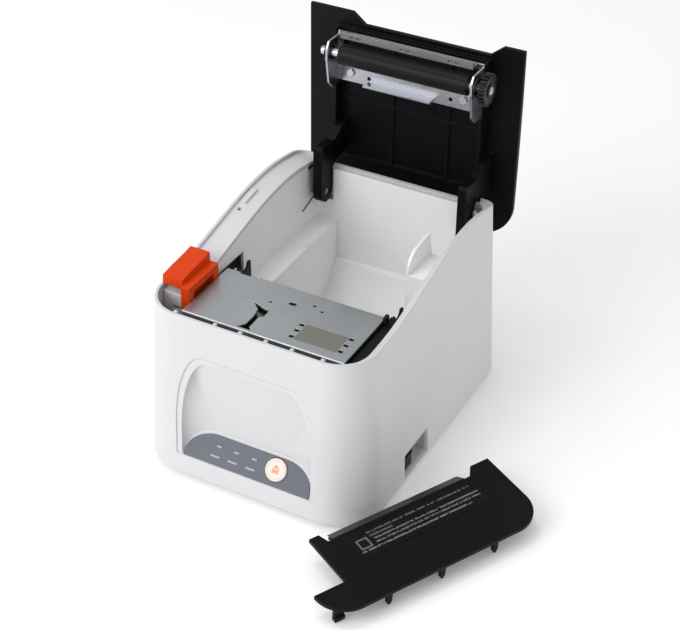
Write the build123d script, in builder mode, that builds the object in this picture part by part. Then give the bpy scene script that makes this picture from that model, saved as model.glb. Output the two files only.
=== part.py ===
from build123d import *
from math import cos, radians, sin, tan
import os

# Thermal receipt printer with its lid open and its front cover lifted off.
# Origin: centre of the footprint on the table. X to the right, Y to the back, Z up. Millimetres.

os.makedirs("parts", exist_ok=True)

# Driving dimensions ---------------------------------------------------------------------------
BODY_W = 145.0  # footprint width at the table
BODY_D = 185.0  # footprint depth at the table
CASING_Z = 3.8  # lower edge of the casing, standing on its feet
DRAFT = 3.27  # every outer wall leans in by this many degrees
REAR_CORNER_R = 15.0
CORNER_R = 28.0  # plan radius of the casing's corners at the table
WALL = 2.4  # moulded wall
LEVER_SLOPE = 7.0  # the release lever's cap climbs towards the back, degrees
LEVER_SLOPE_Z = 123.0  # height of that slope at the middle of the casing
LEDGE_DROP = 1.8  # ledge that carries the lid, below the rim's outer lip
LEDGE_T = 2.2
LIP_T = 1.7
REAR_TOP_Z = 115.0  # the back wall between the corners is cut down for the lid's arms
REAR_CUT_X = (-48.0, 55.6)

HINGE_Y = 75.0  # lid axis, along X
HINGE_Z = 100.5
LID_OPEN = 97.0  # degrees from shut to the open stop
LID_HALF_W = 68.0
LID_INNER_Y = 104.5  # inner face of the open lid
LID_FRONT_Z = 205.5  # its front edge, uppermost while open
LID_REAR_Z = 82.5
ARM_LEFT_X = (-46.0, -40.0)
ARM_RIGHT_X = (48.0, 53.4)
ARM_END_R = 6.6
HINGE_PIN_R = 2.0

PLATEN_Y = 82.0  # platen axis while the lid is open
PLATEN_Z = 189.5
PLATEN_R = 6.0
PLATEN_X = (-35.0, 45.0)  # 80 mm of rubber
SHAFT_R = 2.5
SHAFT_X = (-47.6, 59.0)
BRACKET_X = (-42.5, 49.2)
SHEET = 1.2  # folded steel sheet

MECH_X = (-45.3, 52.8)  # side plates of the print mechanism, outer faces
MECH_TOP_Z = 104.0
MECH_FRONT_Y = -77.0
MECH_REAR_Y = -30.0

BIN_X = (-36.0, 44.0)  # paper trough
SHELF_Z = 79.0
POCKET_X = (-50.0, 62.0)
RUN = 0.05  # radial clearance of a shaft that turns in a bore

GEAR_MODULE = 0.8
PLATEN_TEETH = 22
IDLER_TEETH = 30
PINION_TEETH = 12

sin_open = sin(radians(LID_OPEN))
cos_open = cos(radians(LID_OPEN))
lean = tan(radians(DRAFT))


def save(piece, name):
    piece.label = name
    export_step(piece, f"parts/{name}.step")


def shut(y, z):
    """Where a point of the open lid goes when the lid is shut."""
    dy = y - HINGE_Y
    dz = z - HINGE_Z
    return HINGE_Y + dy * cos_open - dz * sin_open, HINGE_Z + dy * sin_open + dz * cos_open


# The rim seen from the side, front to back, as y and z.
RIM_LINE = [
    (-110, 107.2), (-86, 107.6), (-62, 107.9), (-42, 109.2), (-25, 112.4), (-8, 116.4), (8, 119.9),
    (23, 122.4), (40, 123.8), (57, 123.3), (72, 121.0), (88, 117.6), (110, 112.5),
]
CAP_TOP_Z = 200.0


def rim_cap(drop):
    """All that is above the casing's curved rim, lowered by drop."""
    with BuildPart() as cap:
        with BuildSketch(Plane.YZ.offset(-100)):
            with BuildLine():
                lowered = [(y, z - drop) for y, z in RIM_LINE]
                Spline(*lowered)
                back_y = RIM_LINE[-1][0]
                front_y = RIM_LINE[0][0]
                Polyline(lowered[-1], (back_y, CAP_TOP_Z), (front_y, CAP_TOP_Z), lowered[0])
            make_face()
        extrude(amount=200)
    return cap.part


def footprint(shrink):
    """The casing's outline from above, with tighter corners at the back, smaller by shrink each way."""
    with BuildSketch() as outline:
        Rectangle(BODY_W - shrink, BODY_D - shrink)
        fillet(outline.vertices().group_by(Axis.Y)[0], CORNER_R - shrink / 2)
        fillet(outline.vertices().group_by(Axis.Y)[-1], REAR_CORNER_R - shrink / 2)
    return outline.sketch


def casing_form(inset, bottom, drop):
    """The casing's leaning outer form, drawn in by inset and cut off drop below the rim."""
    shrink = 2 * (inset + bottom * lean)
    with BuildPart() as form:
        with BuildSketch(Plane.XY.offset(bottom)):
            add(footprint(shrink))
        extrude(amount=150 - bottom, taper=DRAFT)
        add(rim_cap(drop), mode=Mode.SUBTRACT)
    return form.part


def slab(x, y, z):
    """A plain block from three (low, high) pairs."""
    with BuildPart() as block:
        with Locations((sum(x) / 2, sum(y) / 2, sum(z) / 2)):
            Box(x[1] - x[0], y[1] - y[0], z[1] - z[0])
    return block.part


def rod(x, y, z, radius):
    """A round bar along X between the two values of x."""
    with BuildPart() as bar:
        with BuildSketch(Plane.YZ.offset(x[0])):
            with Locations((y, z)):
                Circle(radius)
        extrude(amount=x[1] - x[0])
    return bar.part


def tube(x, y, z, outer, inner):
    with BuildPart() as ring:
        with BuildSketch(Plane.YZ.offset(x[0])):
            with Locations((y, z)):
                Circle(outer)
                Circle(inner, mode=Mode.SUBTRACT)
        extrude(amount=x[1] - x[0])
    return ring.part


def side_profile(points, x):
    """A plate along X whose outline is a list of (y, z) corners."""
    with BuildPart() as plate:
        with BuildSketch(Plane.YZ.offset(x[0])):
            with BuildLine():
                Polyline(*points, close=True)
            make_face()
        extrude(amount=x[1] - x[0])
    return plate.part


def spur_gear(teeth, x, y, z, bore, turn=0.0):
    """A spur gear along X with straight-sided teeth and a little backlash."""
    pitch = 360 / teeth
    root = GEAR_MODULE * (teeth / 2 - 1.2)
    tip = GEAR_MODULE * (teeth / 2 + 0.85)
    corners = []
    for tooth in range(teeth):
        for share, radius in ((-0.25, root), (-0.11, tip), (0.11, tip), (0.25, root)):
            angle = radians(turn + (tooth + share) * pitch)
            corners.append((y + radius * cos(angle), z + radius * sin(angle)))
    with BuildPart() as gear:
        add(side_profile(corners, x))
        with BuildSketch(Plane.YZ.offset(x[0])):
            with Locations((y, z)):
                Circle(bore)
        extrude(amount=x[1] - x[0], mode=Mode.SUBTRACT)
    return gear.part


# Front recess ---------------------------------------------------------------------------------
# An arched hollow in the front wall. Its back wall is flush at the top and deepest where it meets
# the sloping face that carries the control panel.
ARCH_HALF_W = 40.7
ARCH_BOTTOM_Z = 16.9
ARCH_TOP_Z = 81.6
ARCH_SHOULDER = (17.0, 46.0)  # half axes of the elliptic shoulders
SLOPE_FOOT = (-91.38, 16.6)  # y, z on the panel's sloping face
SLOPE_DIR = (0.590, 0.807)
RECESS_BACK_Y = -80.2
RECESS_CORNER = (18.0, 9.0)  # half axes of its rounded back corners, from above
RECESS_TOP_Y = -87.2


def arch(grow):
    """Outline of the recess on the XZ plane, grown outwards on every side."""
    half = ARCH_HALF_W + grow
    low = ARCH_BOTTOM_Z - grow
    top = ARCH_TOP_Z + grow
    wide, tall = ARCH_SHOULDER
    with BuildSketch(Plane.XZ) as outline:
        with BuildLine():
            Line((-half, low), (half, low))
            Line((half, low), (half, top - tall))
            EllipticalCenterArc((half - wide, top - tall), wide, tall, 0, arc_size=90)
            Line((half - wide, top), (wide - half, top))
            EllipticalCenterArc((wide - half, top - tall), wide, tall, 90, arc_size=90)
            Line((-half, top - tall), (-half, low))
        make_face()
    return outline.sketch


def recess_form(grow):
    """The recess as a solid, or its backing wall's outside when grown."""
    run = SLOPE_DIR[1] / SLOPE_DIR[0]
    back = RECESS_BACK_Y + grow
    foot_y = SLOPE_FOOT[0] + grow * SLOPE_DIR[1]
    foot_z = SLOPE_FOOT[1] - grow * SLOPE_DIR[0]
    half = ARCH_HALF_W + grow
    wide, deep = RECESS_CORNER
    front = -105.0
    with BuildPart() as form:
        extrude(arch(grow), amount=110, dir=(0, -1, 0))
        with BuildSketch():
            with BuildLine():
                Line((-half, front), (half, front))
                Line((half, front), (half, back - deep))
                EllipticalCenterArc((half - wide, back - deep), wide, deep, 0, arc_size=90)
                Line((half - wide, back), (wide - half, back))
                EllipticalCenterArc((wide - half, back - deep), wide, deep, 90, arc_size=90)
                Line((-half, back - deep), (-half, front))
            make_face()
        extrude(amount=120, mode=Mode.INTERSECT)
        with BuildSketch(Plane.YZ):
            with BuildLine():
                Line((front, ARCH_TOP_Z + grow), (RECESS_TOP_Y + grow, ARCH_TOP_Z + grow))
                ThreePointArc(
                    (RECESS_TOP_Y + grow, ARCH_TOP_Z + grow),
                    (back - 2.4, 62.0),
                    (back, foot_z + (back - foot_y) * run),
                )
                Line((back, foot_z + (back - foot_y) * run), (front, foot_z + (front - foot_y) * run))
                Line((front, foot_z + (front - foot_y) * run), (front, ARCH_TOP_Z + grow))
            make_face()
        extrude(amount=80, both=True, mode=Mode.INTERSECT)
    return form.part


# Upper casing ---------------------------------------------------------------------------------
# White moulded shell, open below, with a ledge round its mouth and a backed front recess.
MOUTH_Y = (-83.0, 83.2)
LEVER_WELL_X = (-64.5, -50.0)
LEVER_WELL_Y = (-83.0, -37.4)
SWITCH_Y = (-38.5, -9.5)
SWITCH_Z = (5.5, 22.0)
SOCKET_Z = (9.0, 21.0)
SOCKETS = {"usb": (-18.0, 12.4), "drawer": (6.0, 14.4), "power": (32.0, 16.4)}
BUTTON_AT = (17.2, 10.0)  # on the panel: across, and up the slope
BUTTON_R = 6.4
LAMPS_X = (-19.3, -8.3, 3.0)
LAMP_RISE = BUTTON_AT[1] + 1.2

panel_plane = Plane(
    origin=(0, SLOPE_FOOT[0], SLOPE_FOOT[1]),
    x_dir=(1, 0, 0),
    z_dir=(0, -SLOPE_DIR[1], SLOPE_DIR[0]),
)

form = casing_form(0, CASING_Z, 0)
hollow = casing_form(WALL, CASING_Z, LEDGE_DROP + LEDGE_T)
with BuildPart() as lip_recess:
    add(casing_form(LIP_T, CASING_Z, -6))
    add(rim_cap(LEDGE_DROP), mode=Mode.INTERSECT)

with BuildPart() as mouth:
    with BuildSketch(Plane.XY.offset(70)):
        with BuildLine():
            Polyline(
                (LEVER_WELL_X[0], LEVER_WELL_Y[1]),
                (LEVER_WELL_X[1], LEVER_WELL_Y[1]),
                (LEVER_WELL_X[1], MOUTH_Y[1]),
                (POCKET_X[1], MOUTH_Y[1]),
                (POCKET_X[1], MOUTH_Y[0]),
                (LEVER_WELL_X[0], MOUTH_Y[0]),
                close=True,
            )
        make_face()
    extrude(amount=80)
    front_corners = mouth.edges().filter_by(Axis.Z).group_by(Axis.Y)[0]
    fillet(front_corners, 18)
    back_corner = mouth.edges().filter_by(Axis.Z).group_by(Axis.Y)[-1].sort_by(Axis.X)[-1]
    fillet(back_corner, 12)

with BuildPart() as casing_shell:
    add(form)
    fillet(casing_shell.edges().group_by(Axis.Z)[0], 1.2)
    add(hollow, mode=Mode.SUBTRACT)
    add(lip_recess.part, mode=Mode.SUBTRACT)
    add(mouth.part, mode=Mode.SUBTRACT)

with BuildPart() as recess_back:
    add(recess_form(WALL - 0.2))
    add(form, mode=Mode.INTERSECT)

with BuildPart() as panel_hole:
    with BuildSketch(panel_plane.offset(-8)):
        with Locations(BUTTON_AT):
            Circle(BUTTON_R + 0.3)
    extrude(amount=20)

with BuildPart() as recess_band:  # shallow band that frames the recess
    with BuildSketch(Plane.XZ):
        add(arch(3.3))
        add(arch(-1), mode=Mode.SUBTRACT)
        with Locations((0, ARCH_BOTTOM_Z - 10)):
            Rectangle(120, 20, mode=Mode.SUBTRACT)
    extrude(amount=100)
    add(form, mode=Mode.INTERSECT)
    add(casing_form(0.6, CASING_Z, 0), mode=Mode.SUBTRACT)

with BuildPart() as ledge_pad:
    add(slab((-62.4, -58.8), (12.4, 25.6), (105, 140)))
    add(rim_cap(LEDGE_DROP - 1.3), mode=Mode.SUBTRACT)
    add(rim_cap(LEDGE_DROP + 0.5), mode=Mode.INTERSECT)

with BuildPart() as upper_casing:
    add(casing_shell.part)
    add(recess_back.part)
    add(recess_form(0), mode=Mode.SUBTRACT)
    add(panel_hole.part, mode=Mode.SUBTRACT)
    add(recess_band.part, mode=Mode.SUBTRACT)
    # low back wall for the lid's arms and the arc that the open lid's panel sweeps
    add(slab(REAR_CUT_X, (60, 100), (REAR_TOP_Z, 150)), mode=Mode.SUBTRACT)
    # relief inside the back right corner for the end of the lid's arm
    add(slab((46.8, 54.4), (70, 82.3), (HINGE_Z - 12, REAR_TOP_Z + 1)), mode=Mode.SUBTRACT)
    add(slab((-80, 80), (HINGE_Y, 100), (HINGE_Z, 150)) - rod((-80, 80), HINGE_Y, HINGE_Z, 28.6),
        mode=Mode.SUBTRACT)
    add(slab((50, 80), SWITCH_Y, SWITCH_Z), mode=Mode.SUBTRACT)
    for centre, width in SOCKETS.values():
        add(slab((centre - width / 2, centre + width / 2), (80, 100), SOCKET_Z), mode=Mode.SUBTRACT)
    # pad and slot on the left ledge, under the lid's edge
    add(ledge_pad.part)
    add(slab((-61.2, -59.2), (6.4, 9.0), (105, 130)), mode=Mode.SUBTRACT)
    # snap lugs for the front cover along the inside of the front rim
    with Locations(*[(x, -83.4, 106.2) for x in (-45.0, -20.6, -5.2, 10.3, 25.8, 44.0)]):
        Box(2.0, 2.4, 2.4)
save(upper_casing.part, "upper_casing")

# Bottom base, feet and screws -----------------------------------------------------------------
BASE_Z = (2.4, 5.0)
BASE_INSET = 2.9
FOOT_R = 6.5
FEET = [(x, y) for x in (-50.0, 50.0) for y in (-68.0, 68.0)]
BASE_SCREWS = [(x, y) for x in (-58.0, 58.0) for y in (-52.0, 52.0)]

with BuildPart() as bottom_base:
    with BuildSketch(Plane.XY.offset(BASE_Z[0])):
        add(footprint(2 * BASE_INSET))
    extrude(amount=BASE_Z[1] - BASE_Z[0])
    with BuildSketch(Plane.XY.offset(BASE_Z[1])):
        RectangleRounded(126, 160, 20)
        RectangleRounded(122.4, 156.4, 18.2, mode=Mode.SUBTRACT)
    extrude(amount=3)
    add(slab((44, 80), (SWITCH_Y[0] - 2, SWITCH_Y[1] + 2), (BASE_Z[1] - 0.4, 20)), mode=Mode.SUBTRACT)
    add(slab((-26, 42), (74, 90), (BASE_Z[1], 20)), mode=Mode.SUBTRACT)
    with BuildSketch(Plane.XY.offset(BASE_Z[0])):
        with Locations(*FEET):
            Circle(FOOT_R)
    extrude(amount=1.0, mode=Mode.SUBTRACT)
    with BuildSketch(Plane.XY.offset(BASE_Z[0])):
        with Locations(*BASE_SCREWS):
            Circle(1.6)
    extrude(amount=BASE_Z[1] - BASE_Z[0], mode=Mode.SUBTRACT)
save(bottom_base.part, "bottom_base")

with BuildPart() as rubber_feet:
    with BuildSketch():
        with Locations(*FEET):
            Circle(FOOT_R - 0.1)
    extrude(amount=BASE_Z[0] + 1.0)
    fillet(rubber_feet.edges().group_by(Axis.Z)[0], 0.6)
save(rubber_feet.part, "rubber_feet")

with BuildPart() as base_screws:
    with BuildSketch(Plane.XY.offset(1.2)):
        with Locations(*BASE_SCREWS):
            Circle(2.8)
    extrude(amount=1.2)
    with BuildSketch(Plane.XY.offset(2.4)):
        with Locations(*BASE_SCREWS):
            Circle(1.5)
    extrude(amount=8)
save(base_screws.part, "base_screws")

# Control panel, feed button and indicator lamps ----------------------------------------------
PANEL_T = 0.7
PANEL_CORNER = (18.5, 15.0)  # half axes of its elliptic upper corners
PANEL_HALF_W = 39.8
PANEL_RUN = (0.7, 17.2)  # lowest and highest points along the slope

with BuildPart() as control_panel:
    with BuildSketch(panel_plane):
        with BuildLine():
            wide, tall = PANEL_CORNER
            shoulder = PANEL_RUN[1] - tall
            Line((-PANEL_HALF_W, PANEL_RUN[0]), (PANEL_HALF_W, PANEL_RUN[0]))
            Line((PANEL_HALF_W, PANEL_RUN[0]), (PANEL_HALF_W, shoulder))
            EllipticalCenterArc((PANEL_HALF_W - wide, shoulder), wide, tall, 0, arc_size=90)
            Line((PANEL_HALF_W - wide, PANEL_RUN[1]), (wide - PANEL_HALF_W, PANEL_RUN[1]))
            EllipticalCenterArc((wide - PANEL_HALF_W, shoulder), wide, tall, 90, arc_size=90)
            Line((-PANEL_HALF_W, shoulder), (-PANEL_HALF_W, PANEL_RUN[0]))
        make_face()
        with Locations(BUTTON_AT):
            Circle(BUTTON_R + 0.25, mode=Mode.SUBTRACT)
        with Locations(*[(x, LAMP_RISE) for x in LAMPS_X]):
            SlotOverall(3.6, 1.8, mode=Mode.SUBTRACT)
    extrude(amount=PANEL_T)
save(control_panel.part, "control_panel")

with BuildPart() as feed_button:
    with BuildSketch(panel_plane.offset(-3.4)):
        with Locations(BUTTON_AT):
            Circle(BUTTON_R)
    extrude(amount=5.3)
    fillet(feed_button.faces().sort_by(Axis.Y)[0].edges(), 0.5)
save(feed_button.part, "feed_button")

with BuildPart() as indicator_lenses:
    with BuildSketch(panel_plane):
        with Locations(*[(x, LAMP_RISE) for x in LAMPS_X]):
            SlotOverall(3.5, 1.7)
    extrude(amount=PANEL_T + 0.2)
save(indicator_lenses.part, "indicator_lenses")

# Power switch in the right wall ---------------------------------------------------------------
SWITCH_OUT_X = BODY_W / 2 - 1.6
ROCKER_Y = -31.0
SWITCH_FACE_X = 69.6
ROCKER_Z = 13.6

with BuildPart() as switch_housing:
    add(slab((62.0, SWITCH_OUT_X), (SWITCH_Y[0] + 0.1, SWITCH_Y[1] - 0.1),
             (SWITCH_Z[0] + 0.1, SWITCH_Z[1] - 0.1)))
    add(slab((64.0, 80), (SWITCH_Y[0] + 1.6, SWITCH_Y[1] - 1.6), (SWITCH_Z[0] + 1.6, SWITCH_Z[1] - 1.6)),
        mode=Mode.SUBTRACT)
    add(slab((60.0, 66), (ROCKER_Y - 5.2, ROCKER_Y + 5.2), (ROCKER_Z - 6.4, ROCKER_Z + 6.4)),
        mode=Mode.SUBTRACT)
save(switch_housing.part, "switch_housing")

with BuildPart() as switch_body:
    add(slab((52.0, SWITCH_FACE_X), (ROCKER_Y - 5.1, ROCKER_Y + 5.1), (ROCKER_Z - 6.3, ROCKER_Z + 6.3)))
    add(slab((SWITCH_FACE_X - 7.2, 75), (ROCKER_Y - 3.9, ROCKER_Y + 3.9), (ROCKER_Z - 5.6, ROCKER_Z + 5.6)),
        mode=Mode.SUBTRACT)
save(switch_body.part, "switch_body")

with BuildPart() as power_rocker:
    with BuildSketch(Plane.XZ.offset(-(ROCKER_Y + 3.5))):
        with BuildLine():
            Polyline((SWITCH_FACE_X - 4.8, ROCKER_Z - 2.4), (SWITCH_FACE_X + 0.6, ROCKER_Z - 4.6),
                     (SWITCH_FACE_X + 0.2, ROCKER_Z), (SWITCH_FACE_X + 1.4, ROCKER_Z + 4.4),
                     (SWITCH_FACE_X - 4.8, ROCKER_Z + 2.4), close=True)
        make_face()
    extrude(amount=7.0)
save(power_rocker.part, "power_rocker")

# Paper bin ------------------------------------------------------------------------------------
# White liner: a wide pocket for the lid's arms above a trough for an 80 mm paper roll.
BIN_WALL = 1.8
BIN_TOP_DROP = LEDGE_DROP + LEDGE_T + 0.2
POCKET_Y = (-6.0, 81.0)
TROUGH_Y = (-24.0, 79.2)
TROUGH_FLOOR_Z = 19.0
STEP_Z = 52.0  # small step across the back wall of the trough
EAR_X = (BIN_X[1], BIN_X[1] + BIN_WALL)


def trough(grow):
    with BuildPart() as scoop:
        with BuildSketch(Plane.YZ.offset(BIN_X[0] - grow)):
            with BuildLine():
                Polyline(
                    (TROUGH_Y[0], 74),
                    (TROUGH_Y[0], 130),
                    (TROUGH_Y[1] + 1.8, 130),
                    (TROUGH_Y[1] + 1.8, STEP_Z),
                    (TROUGH_Y[1] - 1.2, STEP_Z),
                )
                ThreePointArc((TROUGH_Y[1] - 1.2, STEP_Z), (28, TROUGH_FLOOR_Z), (TROUGH_Y[0], 74))
            make_face()
            if grow:
                offset(amount=grow, kind=Kind.INTERSECTION)
        extrude(amount=BIN_X[1] - BIN_X[0] + 2 * grow)
    return scoop.part


def pocket(grow, bottom):
    """The wide upper part of the bin, with its back corners rounded to suit the casing."""
    with BuildPart() as space:
        with BuildSketch(Plane.XY.offset(bottom)) as plan:
            with BuildLine():
                Polyline(
                    (POCKET_X[0] - grow, POCKET_Y[0]),
                    (POCKET_X[1] + grow, POCKET_Y[0]),
                    (POCKET_X[1] + grow, POCKET_Y[1] + grow),
                    (POCKET_X[0] - grow, POCKET_Y[1] + grow),
                    close=True,
                )
            make_face()
            back = plan.vertices().group_by(Axis.Y)[-1].sort_by(Axis.X)
            fillet(back[0], 5 + grow)
            back = plan.vertices().group_by(Axis.Y)[-1].sort_by(Axis.X)
            fillet(back[-1], 18.2 + grow)
        extrude(amount=141 - bottom)
    return space.part


with BuildPart() as paper_bin:
    add(pocket(BIN_WALL, SHELF_Z - BIN_WALL))
    add(trough(BIN_WALL))
    add(pocket(0, SHELF_Z), mode=Mode.SUBTRACT)
    add(trough(0), mode=Mode.SUBTRACT)
    add(slab((-60, 70), (-40, POCKET_Y[0]), (72, 141)), mode=Mode.SUBTRACT)
    add(slab((POCKET_X[0] - BIN_WALL, POCKET_X[0]), (LEVER_WELL_Y[1] + 0.3, POCKET_Y[0]),
             (MECH_TOP_Z - 4, 141)))
    # raised shelf and curved paper ear on the right
    add(slab((BIN_X[1], POCKET_X[1]), (12, 38), (SHELF_Z - BIN_WALL, MECH_TOP_Z)))
    add(slab((EAR_X[1], POCKET_X[1]), (12 + BIN_WALL, 38 - BIN_WALL), (0, MECH_TOP_Z - BIN_WALL)),
        mode=Mode.SUBTRACT)
    add(rim_cap(BIN_TOP_DROP), mode=Mode.SUBTRACT)
    add(slab((-80, 80), (70, 90), (REAR_TOP_Z - 2, 141)), mode=Mode.SUBTRACT)
    with BuildSketch(Plane.YZ.offset(EAR_X[0])):
        with BuildLine():
            Line((12, 100), (12, 106))
            EllipticalCenterArc((24, 106), 12, 10.5, 90, arc_size=90)
            Line((24, 116.5), (38, 117.5))
            Line((38, 117.5), (42, 100))
            Line((42, 100), (12, 100))
        make_face()
    extrude(amount=BIN_WALL)
    # bump on the left cheek and the seats of the two hinge pins
    with Locations((BIN_X[0] - 1.6, 44, SHELF_Z + 0.6)):
        Cylinder(1.5, 2.6)
    add(rod((POCKET_X[0] - BIN_WALL - 2, POCKET_X[0] + 0.2), HINGE_Y, HINGE_Z, 4.2))
    add(rod((56.0, 59.0), HINGE_Y, HINGE_Z, 4.2))
    # room for the ends of the lid's arms, and the fit inside the casing
    for arm in (ARM_LEFT_X, ARM_RIGHT_X):
        add(slab((arm[0] - 0.8, arm[1] + 0.8), (70, 90), (HINGE_Z - 9, 141)), mode=Mode.SUBTRACT)
    add(casing_form(WALL + 0.15, CASING_Z, BIN_TOP_DROP - 12), mode=Mode.INTERSECT)
    add(rod((-60, 70), HINGE_Y, HINGE_Z, HINGE_PIN_R), mode=Mode.SUBTRACT)
save(paper_bin.part, "paper_bin")

with BuildPart() as hinge_pins:
    add(rod((POCKET_X[0] - BIN_WALL - 2, ARM_LEFT_X[1] - 0.4), HINGE_Y, HINGE_Z, HINGE_PIN_R))
    add(rod((ARM_RIGHT_X[0] + 0.4, 58.4), HINGE_Y, HINGE_Z, HINGE_PIN_R))
save(hinge_pins.part, "hinge_pins")

# torsion spring on the left pin, with one leg down on the shelf and one behind the arm
with BuildPart() as lid_spring:
    add(tube((-49.4, -46.6), HINGE_Y, HINGE_Z, 3.6, 2.6))
    with BuildSketch(Plane(origin=(-46.9, HINGE_Y - 3.0, HINGE_Z - 2), z_dir=(-0.02, -17, -5.0))):
        Circle(0.6)
    extrude(amount=16)
save(lid_spring.part, "lid_spring")

# Lid ------------------------------------------------------------------------------------------
LID_T = 2.6
LID_CROWN = 1.4
LID_CORNER_R = 22.0
NOTCH_Z = 199.0

with BuildPart() as lid_panel:
    with BuildSketch(Plane.XZ.offset(-LID_INNER_Y)) as lid_outline:
        with BuildLine():
            Polyline(
                (-LID_HALF_W, LID_FRONT_Z),
                (-40, LID_FRONT_Z),
                (-32, NOTCH_Z),
                (47, NOTCH_Z),
                (55, LID_FRONT_Z),
                (LID_HALF_W, LID_FRONT_Z),
                (LID_HALF_W, LID_REAR_Z),
                (-LID_HALF_W, LID_REAR_Z),
                close=True,
            )
        make_face()
        fillet(lid_outline.vertices().group_by(Axis.Y)[0], LID_CORNER_R)
    extrude(amount=-10)
    with BuildSketch(Plane.YZ.offset(-LID_HALF_W - 2)):
        with BuildLine():
            ThreePointArc(
                (LID_INNER_Y + LID_T, LID_REAR_Z - 2),
                (LID_INNER_Y + LID_T + LID_CROWN, (LID_REAR_Z + LID_FRONT_Z) / 2),
                (LID_INNER_Y + LID_T, LID_FRONT_Z + 2),
            )
            Polyline(
                (LID_INNER_Y + LID_T, LID_FRONT_Z + 2),
                (LID_INNER_Y, LID_FRONT_Z + 2),
                (LID_INNER_Y, LID_REAR_Z - 2),
                (LID_INNER_Y + LID_T, LID_REAR_Z - 2),
            )
        make_face()
    extrude(amount=2 * LID_HALF_W + 4, mode=Mode.INTERSECT)
    # lip that closes over the low back wall
    add(slab((-41, 41), (LID_INNER_Y - 8, LID_INNER_Y), (LID_REAR_Z + 0.2, LID_REAR_Z + 2.4)))
save(lid_panel.part, "lid_panel")

FRAME_T = 1.3
RIB_Y = 95.0
ARM_PROFILE = [
    (LID_INNER_Y - FRAME_T, 138),
    (93, 136),
    (84, 131),
    (69.6, 132.4),
    (HINGE_Y - ARM_END_R, 131.2),
    (HINGE_Y - ARM_END_R, HINGE_Z),
    (HINGE_Y + ARM_END_R, HINGE_Z),
    (HINGE_Y + ARM_END_R, 114.4),
    (86.0, 117.2),
    (LID_INNER_Y - FRAME_T, 118.6),
]

with BuildPart() as lid_frame:
    add(slab((-49.4, 48.4), (LID_INNER_Y - FRAME_T, LID_INNER_Y), (112, 197)))
    add(slab((48.4, ARM_RIGHT_X[1]), (LID_INNER_Y - FRAME_T, LID_INNER_Y), (112, 139)))
    for arm in (ARM_LEFT_X, ARM_RIGHT_X):
        add(side_profile(ARM_PROFILE, arm))
        add(rod(arm, HINGE_Y, HINGE_Z, ARM_END_R))
        add(rod((arm[0] - 1, arm[1] + 1), HINGE_Y, HINGE_Z, HINGE_PIN_R + RUN), mode=Mode.SUBTRACT)
    for left in (-47.4, 46.4):
        add(slab((left, left + 2), (RIB_Y, LID_INNER_Y), (128, 196)))
    for x in (-11.0, 25.0):
        add(slab((x - 0.7, x + 0.7), (LID_INNER_Y - 2.6, LID_INNER_Y), (113, 195)))
    for z in (113.0, 152.0, 195.0):
        add(slab((-47.4, 47.4), (LID_INNER_Y - 2.6, LID_INNER_Y), (z - 0.7, z + 0.7)))
    for x in (-34.0, 38.0):
        with BuildSketch(Plane.XZ.offset(-93)):
            with Locations((x, 174)):
                Circle(3.2)
        extrude(amount=-(LID_INNER_Y - 93))
        with BuildSketch(Plane.XZ.offset(-93)):
            with Locations((x, 174)):
                Circle(1.3)
        extrude(amount=-7, mode=Mode.SUBTRACT)
save(lid_frame.part, "lid_frame")

# Platen, its bracket and the fixed blade, all on the lid -----------------------------------------
GEAR_X = (53.8, 57.8)
BUSH_R = 4.5

with BuildPart() as platen_roller:
    add(tube(PLATEN_X, PLATEN_Y, PLATEN_Z, PLATEN_R, SHAFT_R))
save(platen_roller.part, "platen_roller")

with BuildPart() as platen_shaft:
    add(rod(SHAFT_X, PLATEN_Y, PLATEN_Z, SHAFT_R))
    chamfer(platen_shaft.edges(), 0.4)
save(platen_shaft.part, "platen_shaft")

with BuildPart() as platen_gear:
    add(spur_gear(PLATEN_TEETH, GEAR_X, PLATEN_Y, PLATEN_Z, SHAFT_R))
    with BuildSketch(Plane.YZ.offset(GEAR_X[1])):
        with Locations((PLATEN_Y, PLATEN_Z)):
            Circle(4.2)
            Circle(SHAFT_R, mode=Mode.SUBTRACT)
    extrude(amount=0.8)
save(platen_gear.part, "platen_gear")

with BuildPart() as platen_bushes:
    for plate, flange in ((BRACKET_X[0], (-43.6, -42.5)), (BRACKET_X[1] - SHEET, (49.2, 50.8))):
        add(tube((plate, plate + SHEET), PLATEN_Y, PLATEN_Z, BUSH_R, SHAFT_R + RUN))
        add(tube(flange, PLATEN_Y, PLATEN_Z, BUSH_R + 1.2, SHAFT_R + RUN))
save(platen_bushes.part, "platen_bushes")

BRACKET_Y = 91.8
BRACKET_Z = (166.0, 198.6)
END_PLATE = [(79, 171), (84, 166), (93, 166), (93, 197), (79, 197), (76.4, 193), (76.4, 186)]

with BuildPart() as platen_bracket:
    add(slab(BRACKET_X, (BRACKET_Y, BRACKET_Y + SHEET), (168.0, BRACKET_Z[1])))
    add(slab((-23, 20), (85.4, BRACKET_Y + SHEET), (169.6, 170.8)))
    add(slab((-39.5, 46.4), (BRACKET_Y - 1, BRACKET_Y + SHEET + 1), (178, 195.6)), mode=Mode.SUBTRACT)
    for left in (BRACKET_X[0], BRACKET_X[1] - SHEET):
        add(side_profile(END_PLATE, (left, left + SHEET)))
    add(rod((-60, 60), PLATEN_Y, PLATEN_Z, BUSH_R), mode=Mode.SUBTRACT)
    with BuildSketch(Plane.XZ.offset(-BRACKET_Y)):
        with Locations((-34, 174), (38, 174)):
            Circle(1.6)
        with Locations((-22, 172.5), (30, 172.5)):
            Circle(1.2)
    extrude(amount=-3, mode=Mode.SUBTRACT)
save(platen_bracket.part, "platen_bracket")

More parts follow.
